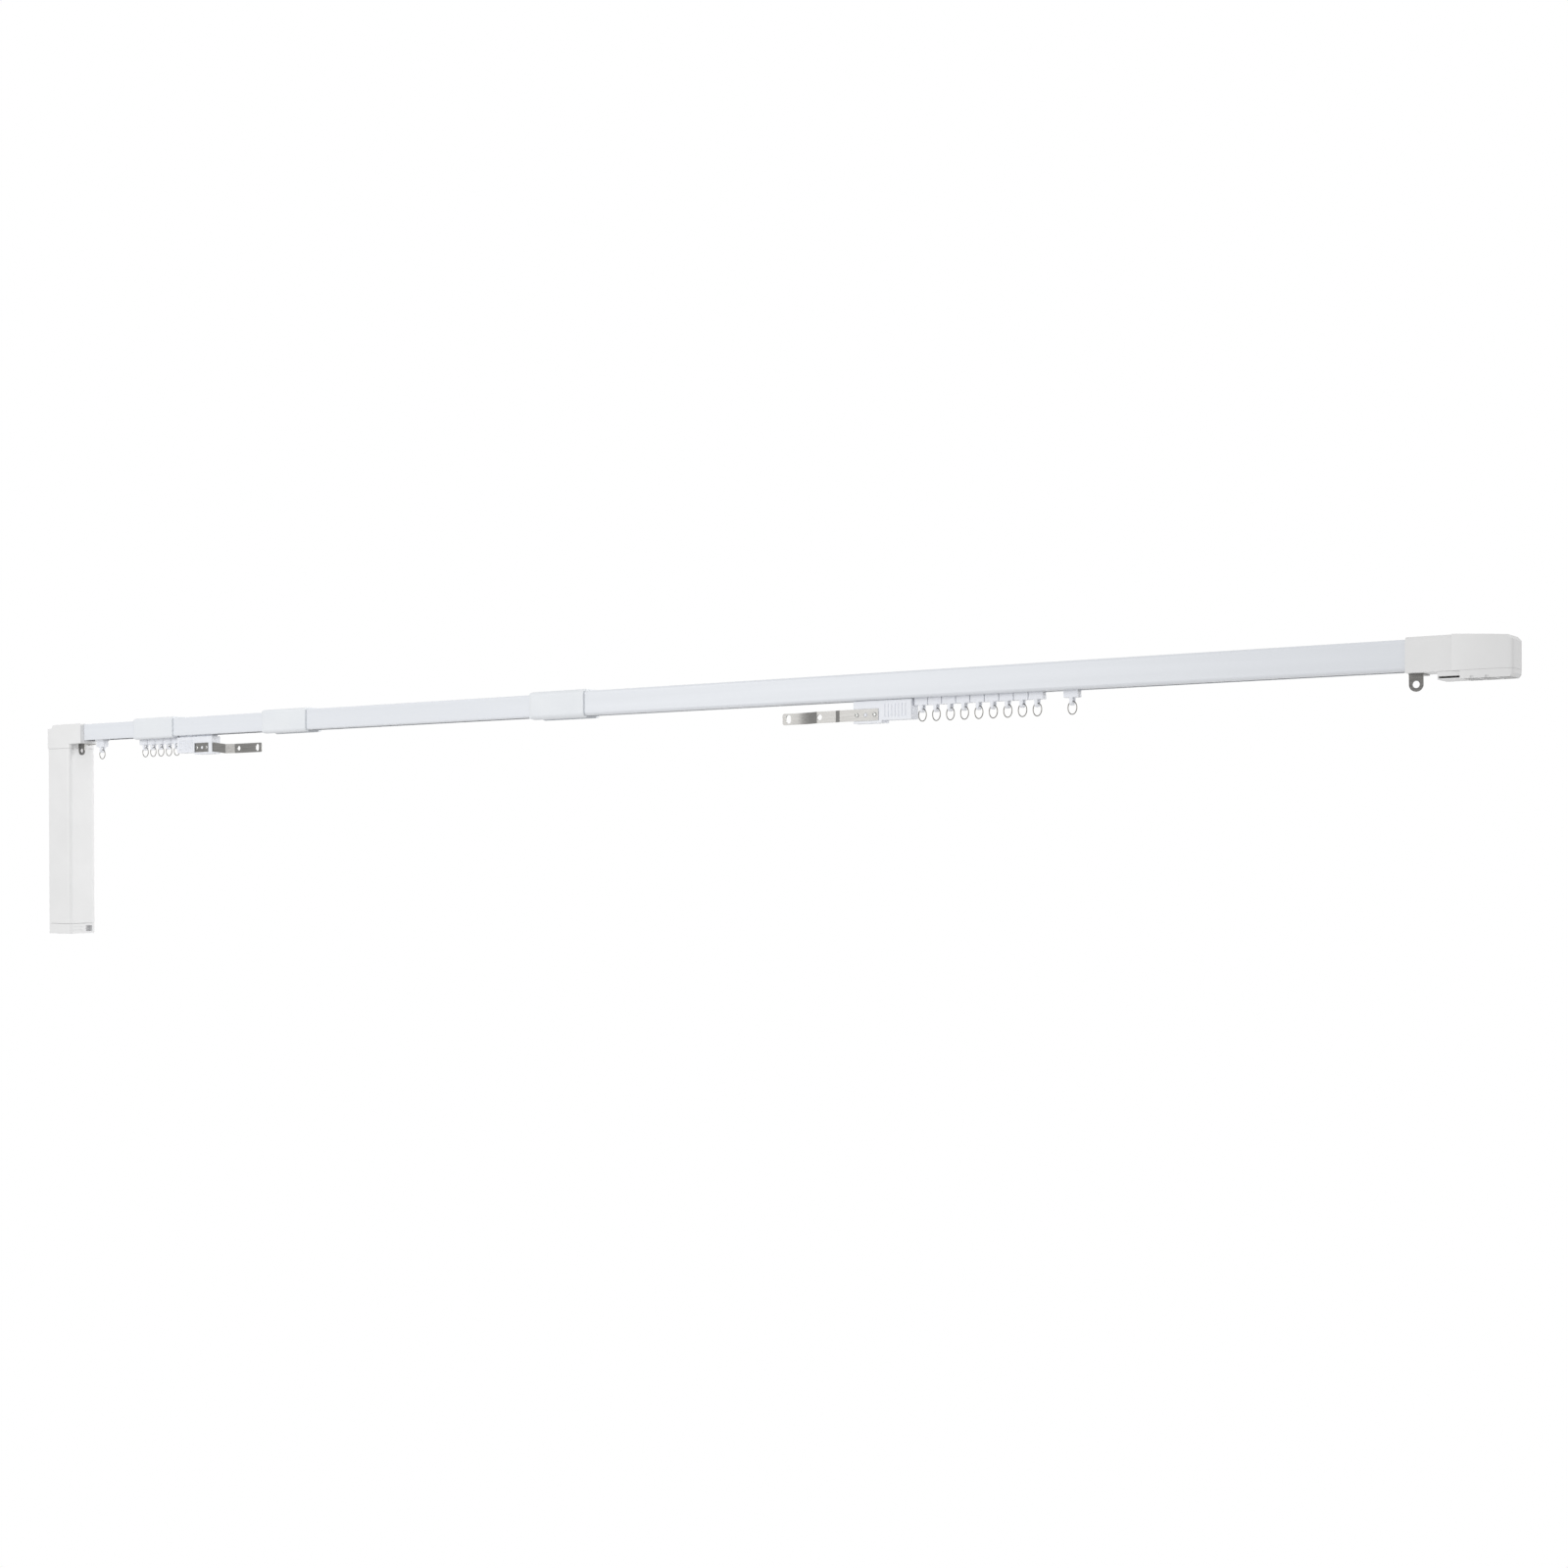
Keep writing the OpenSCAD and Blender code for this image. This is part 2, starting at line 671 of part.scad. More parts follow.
// End brackets: a flange under the housing and a tab with a hook hole
module end_bracket(x, z) {
    flange_x = bracket_flange[0];
    color(steel) translate([x, 0, z]) difference() {
        union() {
            translate([-flange_x / 2, tab_y, -bracket_t]) cube([flange_x, bracket_flange[1], bracket_t]);
            along_y(tab_y, bracket_t) {
                translate([-tab_r, -tab_hole_drop]) square([tab_w, tab_hole_drop]);
                translate([0, -tab_hole_drop]) circle(tab_r);
            }
        }
        along_y(tab_y - cut, bracket_t + 2 * cut) translate([0, -tab_hole_drop]) circle(tab_hole_r);
        for (y = bracket_spots) translate([0, y, 0]) up_z(-bracket_t - cut, cut) circle(bracket_spot_r);
    }
}

module right_end_bracket() { end_bracket(right_bracket_x, housing_z0); }
module left_end_bracket() { end_bracket(left_bracket_x, head_neck_z0); }

// Wedge-sided head that rides on the rails' lips
module head_section() {
    polygon([
        [-block_half, head_side(block_half)], [block_half, head_side(block_half)],
        [head_half, head_side(head_half)], [head_half, head_top],
        [-head_half, head_top], [-head_half, head_side(head_half)]
    ]);
}

module ride_head(x0, len) {
    intersection() {
        along_x(x0, len) head_section();
        up_z(rail_bottom(0), head_top) round_rect(x0, x0 + len, -head_half, head_half, head_corner);
    }
}

// Carrier: a long head, a plate block with the arm's seat and a ribbed block
module carrier_body(plate, front) {
    half = carrier_w / 2;
    plate_z0 = carrier_top - plate_drop;
    rib_z0 = carrier_top - rib_drop;
    ribbed_len = carrier_len - plate_block_len;
    grooves = floor((ribbed_len - rib_pitch) / rib_pitch);
    seat_h = arm_w + 2 * seat_gap;
    color(milky_nylon) difference() {
        union() {
            ride_head(carrier_head_inset, carrier_len - 2 * carrier_head_inset);
            translate([carrier_head_inset, -block_half, carrier_top - cut])
                cube([carrier_len - 2 * carrier_head_inset, 2 * block_half, head_top - carrier_top]);
            up_z(plate_z0, carrier_top) round_rect(0, plate_block_len, -half, half, 1);
            up_z(rib_z0, carrier_top) round_rect(plate_block_len - 2, carrier_len, -half, half, 1);
        }
        translate([0, 0, plate_mid_z - seat_h / 2]) {
            translate([plate[0] - seat_gap, -half - cut, 0])
                cube([plate[1] - plate[0] + 2 * seat_gap, half + cut + front + arm_t, seat_h]);
            translate([-cut, front - seat_gap, 0]) cube([plate[1] + cut, arm_t + seat_gap, seat_h]);
        }
        for (k = [0 : grooves - 1], side = [-1, 1])
            translate([plate_block_len + rib_pitch * (k + 0.75), side * half, rib_z0 + 3])
                translate([0, -rib_groove[1], 0])
                    cube([rib_groove[0], 2 * rib_groove[1], rib_drop - 3 - rib_pitch]);
        for (x = screw_xs(plate)) along_y(front, screw_len) translate([x, plate_mid_z]) circle(screw_r + shaft_gap);
    }
}

// Belt clamp: two jaws beside one run of the belt, standing on the carrier's head
module belt_clamp(side) {
    color(milky_nylon) difference() {
        along_x(clamp_x[0], clamp_x[1] - clamp_x[0]) clamp_span(side, clamp_inner, clamp_outer, head_top,
            belt_z1 + clamp_rise);
        along_x(clamp_x[0] - cut, clamp_x[1] - clamp_x[0] + 2 * cut) clamp_span(side, belt_in - run_gap,
            belt_out + run_gap, belt_z0 - run_gap, belt_z1 + clamp_rise + cut);
    }
}

module clamp_span(side, y0, y1, z0, z1) {
    translate([side > 0 ? y0 : -y1, z0]) square([y1 - y0, z1 - z0]);
}

// Arm: a strip that follows its path seen from above, cut to its outline seen from the front
// The right arm's bend is sharp at first and flattens towards its end
function right_path(front, tip) = [
    [right_plate[1], front], [-arm_step[0], front],
    [-arm_step[0] - arm_step[1], front + arm_step[2]],
    for (k = [0 : bend_steps - 1]) [
        -right_arm_bend[0] - right_arm_bend[1] * k / bend_steps,
        tip - right_arm_bend[2] * pow(1 - k / bend_steps, 3)
    ],
    [-right_arm_bend[0] - right_arm_bend[1], tip], [-right_arm_len, tip]
];

function left_path(front, tip) = [
    [left_plate[1], front], [-left_arm_bend[0], front],
    [-left_arm_bend[0] - left_arm_bend[1], tip], [-left_arm_len, tip]
];

module arm_plan(front) {
    rear = [for (k = [len(front) - 1 : -1 : 0]) front[k] + [0, arm_t]];
    polygon(concat(front, rear));
}

module arm_front(plate_end, dip_at, dip, len) {
    low = plate_mid_z - arm_w / 2;
    high = plate_mid_z + arm_w / 2;
    polygon([
        [plate_end, low], [plate_end, high], [-2, high], [-dip_at, high - dip],
        [-len + arm_corner, high - dip], [-len, high - dip - arm_corner],
        [-len, low - dip + arm_corner], [-len + arm_corner, low - dip],
        [-dip_at, low - dip], [-2, low]
    ]);
}

module arm(path, plate, dip_at, dip, hole_at, len) {
    depth = 4 * carrier_w;
    color(steel) difference() {
        intersection() {
            up_z(plate_mid_z - 2 * arm_w, plate_mid_z + 2 * arm_w) arm_plan(path);
            along_y(-depth / 2, depth) arm_front(plate[1], dip_at, dip, len);
        }
        along_y(-depth / 2, depth) {
            translate([-hole_at, plate_mid_z - dip]) circle(arm_hole_r);
            translate([-len + arm_slot_inset, plate_mid_z - dip]) round_rect(
                -arm_slot[0] / 2, arm_slot[0] / 2, -arm_slot[1] / 2, arm_slot[1] / 2, arm_slot[0] / 2 - 0.1);
            translate([(plate[0] + plate[1]) / 2, plate_mid_z]) circle(plate_hole_r);
            for (x = screw_xs(plate)) translate([x, plate_mid_z]) circle(screw_r + shaft_gap);
        }
    }
}

module arm_screws(plate, front) {
    color(steel) for (x = screw_xs(plate)) {
        along_y(front - screw_head_t, screw_head_t) translate([x, plate_mid_z]) circle(screw_head_r);
        along_y(front - screw_head_t, screw_len) translate([x, plate_mid_z]) circle(screw_r);
    }
}

module at_right() {
    translate([right_carrier_x, 0, 0]) children();
}

module at_left() {
    translate([left_carrier_x, 0, 0]) mirror([1, 0, 0]) children();
}

module right_carrier() { at_right() carrier_body(right_plate, right_plate_front); }
module right_belt_clamp() { at_right() belt_clamp(-1); }
module right_arm() {
    path = right_path(right_plate_front, right_plate_front + arm_step[2] + right_arm_back);
    at_right() arm(path, right_plate, right_arm_bend[0], 0, right_hole_at, right_arm_len);
}

module right_arm_screws() { at_right() arm_screws(right_plate, right_plate_front); }
module left_carrier() { at_left() carrier_body(left_plate, left_plate_front); }
module left_belt_clamp() { at_left() belt_clamp(1); }
module left_arm() {
    path = left_path(left_plate_front, left_plate_front + left_arm_back);
    at_left() arm(path, left_plate, left_arm_bend[0], left_arm_dip, left_hole_at, left_arm_len);
}

module left_arm_screws() { at_left() arm_screws(left_plate, left_plate_front); }

// Glider: a head in the rail, a block through the slot and a tapered foot with the ring's eye
module glider(x) {
    color(milky_nylon) translate([x, 0, 0]) difference() {
        union() {
            ride_head(-glider_head_len / 2, glider_head_len);
            translate([-glider_block_len / 2, -block_half, block_z0])
                cube([glider_block_len, glider_block_w, head_top - block_z0]);
            intersection() {
                along_x(-foot_top_len / 2, foot_top_len)
                    round_rect(-foot_r, foot_r, foot_z0, block_z0 + 2 * foot_round, foot_round);
                along_y(-foot_r - cut, 2 * foot_r + 2 * cut) polygon([
                    [-foot_tip_len / 2, foot_z0 - cut], [foot_tip_len / 2, foot_z0 - cut],
                    [foot_top_len / 2, block_z0 + cut], [-foot_top_len / 2, block_z0 + cut]
                ]);
            }
        }
        along_x(-foot_top_len, 2 * foot_top_len) translate([0, eye_z]) circle(eye_r);
    }
}

module ring(x, yaw) {
    color(steel) translate([x, 0, eye_z - ring_drop - ring_r]) rotate([0, 0, yaw]) rotate([90, 0, 0])
        rotate_extrude() translate([ring_r, 0]) circle(ring_wire_r, $fn = 24);
}

outer_rail();
second_rail();
third_rail();
inner_rail();
outer_collar();
second_collar();
third_collar();
idler_housing();
idler_base();
idler_pulley();
idler_axle();
right_end_bracket();
drive_head_housing();
drive_pulley();
gear_motor();
motor_casing();
motor_bottom_cap();
power_inlet();
left_end_bracket();
drive_belt();
right_carrier();
right_belt_clamp();
right_arm();
right_arm_screws();
left_carrier();
left_belt_clamp();
left_arm();
left_arm_screws();
for (k = [1 : len(right_glider_xs)]) {
    glider(right_glider_xs[k - 1]);
    ring(right_glider_xs[k - 1], right_ring_yaw);
}
for (k = [1 : len(left_glider_xs)]) {
    glider(left_glider_xs[k - 1]);
    ring(left_glider_xs[k - 1], left_ring_yaw);
}
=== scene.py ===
"""Looks of an electric curtain track: white telescoping rails, a hanging motor, carriers, gliders and rings.

Everything is in metres, in the frame of the solids: +X along the track towards the idler end,
-Y towards the room and +Z up, with the origin on top of the outer rail.
"""

import json
import math

import bmesh
import bpy
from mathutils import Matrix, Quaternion, Vector


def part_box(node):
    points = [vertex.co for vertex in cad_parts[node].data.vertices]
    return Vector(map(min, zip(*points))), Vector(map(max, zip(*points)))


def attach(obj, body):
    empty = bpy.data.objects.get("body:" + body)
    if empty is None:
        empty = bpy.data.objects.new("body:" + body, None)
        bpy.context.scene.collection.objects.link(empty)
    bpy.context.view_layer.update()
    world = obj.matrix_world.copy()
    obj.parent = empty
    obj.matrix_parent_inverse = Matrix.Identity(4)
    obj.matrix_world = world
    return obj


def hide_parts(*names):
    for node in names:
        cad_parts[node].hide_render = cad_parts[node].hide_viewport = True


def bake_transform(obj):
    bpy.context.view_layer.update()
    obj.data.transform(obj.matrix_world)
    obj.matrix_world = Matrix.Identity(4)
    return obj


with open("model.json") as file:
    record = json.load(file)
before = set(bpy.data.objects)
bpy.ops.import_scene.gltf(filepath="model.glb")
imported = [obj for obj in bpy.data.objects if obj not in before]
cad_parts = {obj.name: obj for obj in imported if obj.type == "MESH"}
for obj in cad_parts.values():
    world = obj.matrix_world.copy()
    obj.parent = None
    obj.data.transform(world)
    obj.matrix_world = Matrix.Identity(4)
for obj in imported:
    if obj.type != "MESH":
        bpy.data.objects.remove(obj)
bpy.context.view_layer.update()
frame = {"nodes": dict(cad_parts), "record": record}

MM = 0.001

# Camera: level, beyond the idler end and in front of the track
CAMERA_PLACE = (1.024, -1.732, -0.175)
CAMERA_AIM = (-0.568, 0.823, 0.0)
CAMERA_SENSOR = 36
CAMERA_LENS = 46.6
CAMERA_SHIFT_UP = 0.041
CAMERA_ROLL = math.radians(0.28)
CAMERA_NEAR = 0.05
CAMERA_FAR = 100

# Belt: two runs inside the rails and a half turn round each pulley
BELT_OUTER = 7.8 * MM
BELT_NOTCH = 7.1 * MM
BELT_INNER = 6.4 * MM
BELT_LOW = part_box("drive_belt")[0].z
BELT_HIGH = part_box("drive_belt")[1].z
BELT_TOOTH = 3.4 * MM
STEPS_PER_TOOTH = 4
HALF_TURN_STEPS = 28

# Places along the track where the belt is split into its stretches
BELT_WITH_SECOND = -0.32
BELT_WITH_THIRD = -0.95

# Directions evenly round a circle, for screws and pegs
ROUND_SIDES = 24
CIRCLE = [(math.cos(2 * math.pi * k / ROUND_SIDES), math.sin(2 * math.pi * k / ROUND_SIDES))
          for k in range(ROUND_SIDES)]

# Pan-head screws
SCREW_R = 2.2 * MM
SCREW_DOME = 1.4 * MM
SCREW_RINGS = 12
# How much the dome falls to its rim, as a share of its height squared
SCREW_FALL = 0.82
# Cross recess: reach and half width as shares of the radius, depth as a share of the dome
CROSS_REACH = 0.62
CROSS_HALF_WIDTH = 0.17
CROSS_DEPTH = 0.75
# Where one bar of the cross points, as the screws stopped turning
ARM_CROSS_BAR = (1, 0, 0.4)
BRACKET_CROSS_BAR = (1, 0.5, 0)

# End brackets: the sheet that the screws bear on, and the screws' places behind the tab's face
BRACKET_SHEET = 1.2 * MM
BRACKET_SCREWS_AT = (5.6 * MM, 13.6 * MM)

# Pegs in the plates' middle holes: radius and height above the plate, from the crown down
PEG_PROFILE = [(0.6 * MM, 0.5 * MM), (1.3 * MM, 0.42 * MM), (1.8 * MM, 0.2 * MM),
               (2.0 * MM, -0.1 * MM), (2.0 * MM, -1.3 * MM)]

# Marks of the rolls run along the track: how many times as long as wide they are on rails and on strips
WAVE_RUN = 50
ROLLING_LINE_RUN = 25

# Edges between faces that turn by more than this are drawn sharp
PIECE_CORNER = math.radians(35)
BEND_CORNER = math.radians(16)
# Points this close are one point
SAME_POINT = 0.001 * MM

# Stage: a floor well below the track, and the surround's strength as light and as a background
FLOOR_Z = -2.6
FLOOR_SIZE = 40
SURROUND_LIGHT = 0.66
PLAIN_WHITE = 1.0
WHITE = (1, 1, 1, 1)


# Materials

def linear(hex_colour):
    """sRGB hex to the linear colour that a shader socket takes."""
    parts = [int(hex_colour[i:i + 2], 16) / 255 for i in (1, 3, 5)]
    return [c / 12.92 if c <= 0.04045 else ((c + 0.055) / 1.055) ** 2.4 for c in parts] + [1.0]


def add(tree, kind, settings=None, inputs=None):
    """Adds one node with its settings; an input is a value, or the socket that feeds it."""
    made = tree.nodes.new(kind)
    for key, value in (settings or {}).items():
        setattr(made, key, value)
    for key, value in (inputs or {}).items():
        if isinstance(value, bpy.types.NodeSocket):
            tree.links.new(value, made.inputs[key])
        else:
            made.inputs[key].default_value = value
    return made


def new_material(name):
    """An empty material and its node tree."""
    material = bpy.data.materials.new(name)
    material.use_nodes = True
    material.node_tree.nodes.clear()
    return material, material.node_tree


def per_metre(size_mm):
    """Noise scale for features of about this size."""
    return 1.0 / (size_mm * MM)


def powder_coated_steel():
    """Roll-formed steel, powder coated: a cool satin white with faint waves along its length."""
    material, tree = new_material("powder_coated_steel")
    place = add(tree, "ShaderNodeTexCoord")
    # Forming waves are about 9 mm wide and run on along the rail
    along = add(tree, "ShaderNodeMapping", inputs={
        "Vector": place.outputs["Object"], "Scale": (1 / WAVE_RUN, 1, 1)})
    waves = add(tree, "ShaderNodeTexNoise", inputs={
        "Vector": along.outputs[0], "Scale": per_metre(9), "Detail": 2})
    tone = add(tree, "ShaderNodeValToRGB", inputs={"Fac": waves.outputs["Fac"]})
    trough, crest = tone.color_ramp.elements
    trough.position, trough.color = 0.3, linear("#e3e6eb")
    crest.position, crest.color = 0.7, linear("#e7eaef")
    # Orange peel is about 1.5 mm between crests
    peel = add(tree, "ShaderNodeTexNoise", inputs={
        "Vector": place.outputs["Object"], "Scale": per_metre(1.5), "Detail": 1})
    satin = add(tree, "ShaderNodeMapRange", inputs={
        "Value": peel.outputs["Fac"], "To Min": 0.3, "To Max": 0.38})
    bump = add(tree, "ShaderNodeBump", inputs={
        "Height": peel.outputs["Fac"], "Strength": 0.08, "Distance": 0.02 * MM})
    paint = add(tree, "ShaderNodeBsdfPrincipled", inputs={
        "Base Color": tone.outputs["Color"], "Roughness": satin.outputs[0], "IOR": 1.5,
        "Normal": bump.outputs[0]})
    add(tree, "ShaderNodeOutputMaterial", inputs={"Surface": paint.outputs[0]})
    return material


def moulded_abs(name, dull, clear):
    """Injection-moulded white ABS with a fine spark-eroded skin: softer than the rails' paint."""
    material, tree = new_material(name)
    place = add(tree, "ShaderNodeTexCoord")
    # Flow marks are about 45 mm across
    flow = add(tree, "ShaderNodeTexNoise", inputs={
        "Vector": place.outputs["Object"], "Scale": per_metre(45), "Detail": 3})
    tone = add(tree, "ShaderNodeValToRGB", inputs={"Fac": flow.outputs["Fac"]})
    dull_end, clear_end = tone.color_ramp.elements
    dull_end.position, dull_end.color = 0.3, linear(dull)
    clear_end.position, clear_end.color = 0.7, linear(clear)
    # The spark grain is about 0.3 mm, drawn at 0.7 mm so that it shows
    grain = add(tree, "ShaderNodeTexNoise", inputs={
        "Vector": place.outputs["Object"], "Scale": per_metre(0.7), "Detail": 2})
    sheen = add(tree, "ShaderNodeMapRange", inputs={
        "Value": grain.outputs["Fac"], "To Min": 0.38, "To Max": 0.5})
    bump = add(tree, "ShaderNodeBump", inputs={
        "Height": grain.outputs["Fac"], "Strength": 0.1, "Distance": 0.03 * MM})
    plastic = add(tree, "ShaderNodeBsdfPrincipled", inputs={
        "Base Color": tone.outputs["Color"], "Roughness": sheen.outputs[0], "IOR": 1.53,
        "Normal": bump.outputs[0]})
    add(tree, "ShaderNodeOutputMaterial", inputs={"Surface": plastic.outputs[0]})
    return material


def milky_nylon():
    """Moulded natural nylon: light goes a little way in, so thin edges look bright and milky."""
    material, tree = new_material("moulded_milky_nylon")
    place = add(tree, "ShaderNodeTexCoord")
    # Cloudy patches are about 6 mm across
    cloud = add(tree, "ShaderNodeTexNoise", inputs={
        "Vector": place.outputs["Object"], "Scale": per_metre(6), "Detail": 3})
    tone = add(tree, "ShaderNodeValToRGB", inputs={"Fac": cloud.outputs["Fac"]})
    cloudy, clear = tone.color_ramp.elements
    cloudy.position, cloudy.color = 0.3, linear("#e9ebf1")
    clear.position, clear.color = 0.7, linear("#eef0f5")
    satin = add(tree, "ShaderNodeMapRange", inputs={
        "Value": cloud.outputs["Fac"], "To Min": 0.35, "To Max": 0.5})
    nylon = add(tree, "ShaderNodeBsdfPrincipled", inputs={
        "Base Color": tone.outputs["Color"], "Roughness": satin.outputs[0], "IOR": 1.53,
        "Subsurface Weight": 0.08, "Subsurface Radius": (1.0, 1.0, 1.0), "Subsurface Scale": 2 * MM})
    add(tree, "ShaderNodeOutputMaterial", inputs={"Surface": nylon.outputs[0]})
    return material


def plated_steel(name, dark, light, roughness):
    """Rolled or drawn steel, plated: grey, with fine lines along it that stretch its reflections."""
    material, tree = new_material(name)
    place = add(tree, "ShaderNodeTexCoord")
    # Rolling lines are about 0.1 mm apart, drawn at 0.6 mm so that they show
    along = add(tree, "ShaderNodeMapping", inputs={
        "Vector": place.outputs["Object"], "Scale": (1 / ROLLING_LINE_RUN, 1, 1)})
    lines = add(tree, "ShaderNodeTexNoise", inputs={
        "Vector": along.outputs[0], "Scale": per_metre(0.6), "Detail": 3})
    tone = add(tree, "ShaderNodeValToRGB", inputs={"Fac": lines.outputs["Fac"]})
    groove, ridge = tone.color_ramp.elements
    groove.position, groove.color = 0.3, linear(dark)
    ridge.position, ridge.color = 0.7, linear(light)
    smoothest, roughest = roughness
    polish = add(tree, "ShaderNodeMapRange", inputs={
        "Value": lines.outputs["Fac"], "To Min": smoothest, "To Max": roughest})
    bump = add(tree, "ShaderNodeBump", inputs={
        "Height": lines.outputs["Fac"], "Strength": 0.15, "Distance": 0.02 * MM})
    steel = add(tree, "ShaderNodeBsdfPrincipled", inputs={
        "Base Color": tone.outputs["Color"], "Metallic": 1.0, "Roughness": polish.outputs[0],
        "Normal": bump.outputs[0]})
    add(tree, "ShaderNodeOutputMaterial", inputs={"Surface": steel.outputs[0]})
    return material


def moulded_rubber():
    """Moulded toothed rubber: near black, dull, with a dusting of release powder."""
    material, tree = new_material("moulded_rubber")
    place = add(tree, "ShaderNodeTexCoord")
    # The powder lies in patches of about 2.5 mm
    dust = add(tree, "ShaderNodeTexNoise", inputs={
        "Vector": place.outputs["Object"], "Scale": per_metre(2.5), "Detail": 4})
    tone = add(tree, "ShaderNodeValToRGB", inputs={"Fac": dust.outputs["Fac"]})
    bare, dusty = tone.color_ramp.elements
    bare.position, bare.color = 0.35, linear("#2e2e30")
    dusty.position, dusty.color = 0.75, linear("#454547")
    rubber = add(tree, "ShaderNodeBsdfPrincipled", inputs={
        "Base Color": tone.outputs["Color"], "Roughness": 0.75, "IOR": 1.5})
    add(tree, "ShaderNodeOutputMaterial", inputs={"Surface": rubber.outputs[0]})
    return material


def socket_plastic():
    """Moulded pale grey polycarbonate of the power socket: smooth, a little glossier than the casing."""
    material, tree = new_material("moulded_grey_polycarbonate")
    place = add(tree, "ShaderNodeTexCoord")
    # Flow marks are about 3 mm across
    flow = add(tree, "ShaderNodeTexNoise", inputs={
        "Vector": place.outputs["Object"], "Scale": per_metre(3), "Detail": 2})
    tone = add(tree, "ShaderNodeValToRGB", inputs={"Fac": flow.outputs["Fac"]})
    dull, clear = tone.color_ramp.elements
    dull.color = linear("#e2e2e3")
    clear.color = linear("#e9e9ea")
    plastic = add(tree, "ShaderNodeBsdfPrincipled", inputs={
        "Base Color": tone.outputs["Color"], "Roughness": 0.35, "IOR": 1.58})
    add(tree, "ShaderNodeOutputMaterial", inputs={"Surface": plastic.outputs[0]})
    return material


FINISHES = {
    "rail_enamel": powder_coated_steel(),
    "collar_abs": moulded_abs("moulded_cool_white_abs", dull="#e5e8ec", clear="#e9ecef"),
    "white_abs": moulded_abs("moulded_white_abs", dull="#e7e7e7", clear="#ebebeb"),
    "white_nylon": milky_nylon(),
    "plated_steel": plated_steel("cold_rolled_plated_steel", dark="#757472", light="#898886",
                                 roughness=(0.24, 0.36)),
    "ring_wire": plated_steel("drawn_plated_wire", dark="#77756f", light="#8f8d88", roughness=(0.15, 0.25)),
    "belt_rubber": moulded_rubber(),
    "socket_plastic": socket_plastic(),
}
SCREW_FINISH = plated_steel("bright_zinc_plate", dark="#c4c4c2", light="#d8d8d6", roughness=(0.12, 0.2))
BRACKET_FINISH = plated_steel("stamped_nickel_plate", dark="#62615f", light="#757472", roughness=(0.2, 0.32))


def finish_nodes():
    """Every solid takes the finish of its slot in the record; the end brackets are plated darker."""
    for entry in frame["record"]["subparts"]:
        mesh = frame["nodes"][entry["node"]].data
        mesh.materials.clear()
        mesh.materials.append(FINISHES[entry["material_slot"]])
    for side in ("left", "right"):
        frame["nodes"][f"{side}_end_bracket"].data.materials[0] = BRACKET_FINISH


def rolled_bend(node):
    """Shades a bend that the solid makes in flat steps as the one curve that it is."""
    tree = bpy.data.node_groups.new("rolled_bend", "GeometryNodeTree")
    tree.interface.new_socket("Geometry", in_out="INPUT", socket_type="NodeSocketGeometry")
    tree.interface.new_socket("Geometry", in_out="OUTPUT", socket_type="NodeSocketGeometry")
    start = add(tree, "NodeGroupInput")
    joined = add(tree, "GeometryNodeMergeByDistance", inputs={
        "Geometry": start.outputs[0], "Distance": SAME_POINT})
    angle = add(tree, "GeometryNodeInputMeshEdgeAngle")
    corner = add(tree, "FunctionNodeCompare", {"operation": "GREATER_THAN"}, {
        "A": angle.outputs["Unsigned Angle"], "B": BEND_CORNER})
    shaded = add(tree, "GeometryNodeSetMeshNormal", {"mode": "SHARPNESS"}, {
        "Mesh": joined.outputs[0], "Remove Custom": True, "Edge Sharpness": corner.outputs[0]})
    add(tree, "NodeGroupOutput", inputs={0: shaded.outputs[0]})
    frame["nodes"][node].modifiers.new("rolled_bend", "NODES").node_group = tree


# New pieces

def closed_tube(bm, rows):
    """Faces between neighbouring rings of points, and a cap on each end."""
    for a, b in zip(rows, rows[1:]):
        for k in range(len(a)):
            after = (k + 1) % len(a)
            bm.faces.new((a[k], a[after], b[after], b[k]))
    bm.faces.new(rows[0])
    bm.faces.new(rows[-1])


def piece(name, bm, finish, smooth=True):
    """A new piece from a built mesh, with the finish kept under one of the record's slot names."""
    mesh = bpy.data.meshes.new(name)
    bmesh.ops.recalc_face_normals(bm, faces=bm.faces)
    bm.to_mesh(mesh)
    bm.free()
    made = bpy.data.objects.new(name, mesh)
    bpy.context.collection.objects.link(made)
    mesh.materials.append(FINISHES[finish])
    if smooth:
        mesh.shade_smooth()
        mesh.set_sharp_from_angle(angle=PIECE_CORNER)
    return made


# Belt

def belt_path(x_from, x_to, centre_x, turns_at):
    """Points and outward directions along one stretch, with a half turn at its end if it has a pulley."""
    count = round(abs(x_to - x_from) / BELT_TOOTH) * STEPS_PER_TOOTH
    xs = [x_from + (x_to - x_from) * k / count for k in range(count + 1)]
    front = [((x, 0.0), (0.0, -1.0)) for x in xs]
    back = [((x, 0.0), (0.0, 1.0)) for x in reversed(xs)]
    if centre_x is None:
        return [front, back]
    half_turn = []
    for k in range(1, HALF_TURN_STEPS):
        angle = -math.pi / 2 + math.pi * k / HALF_TURN_STEPS
        half_turn.append(((centre_x, 0.0), (turns_at * math.cos(angle), math.sin(angle))))
    return [front + half_turn + back]


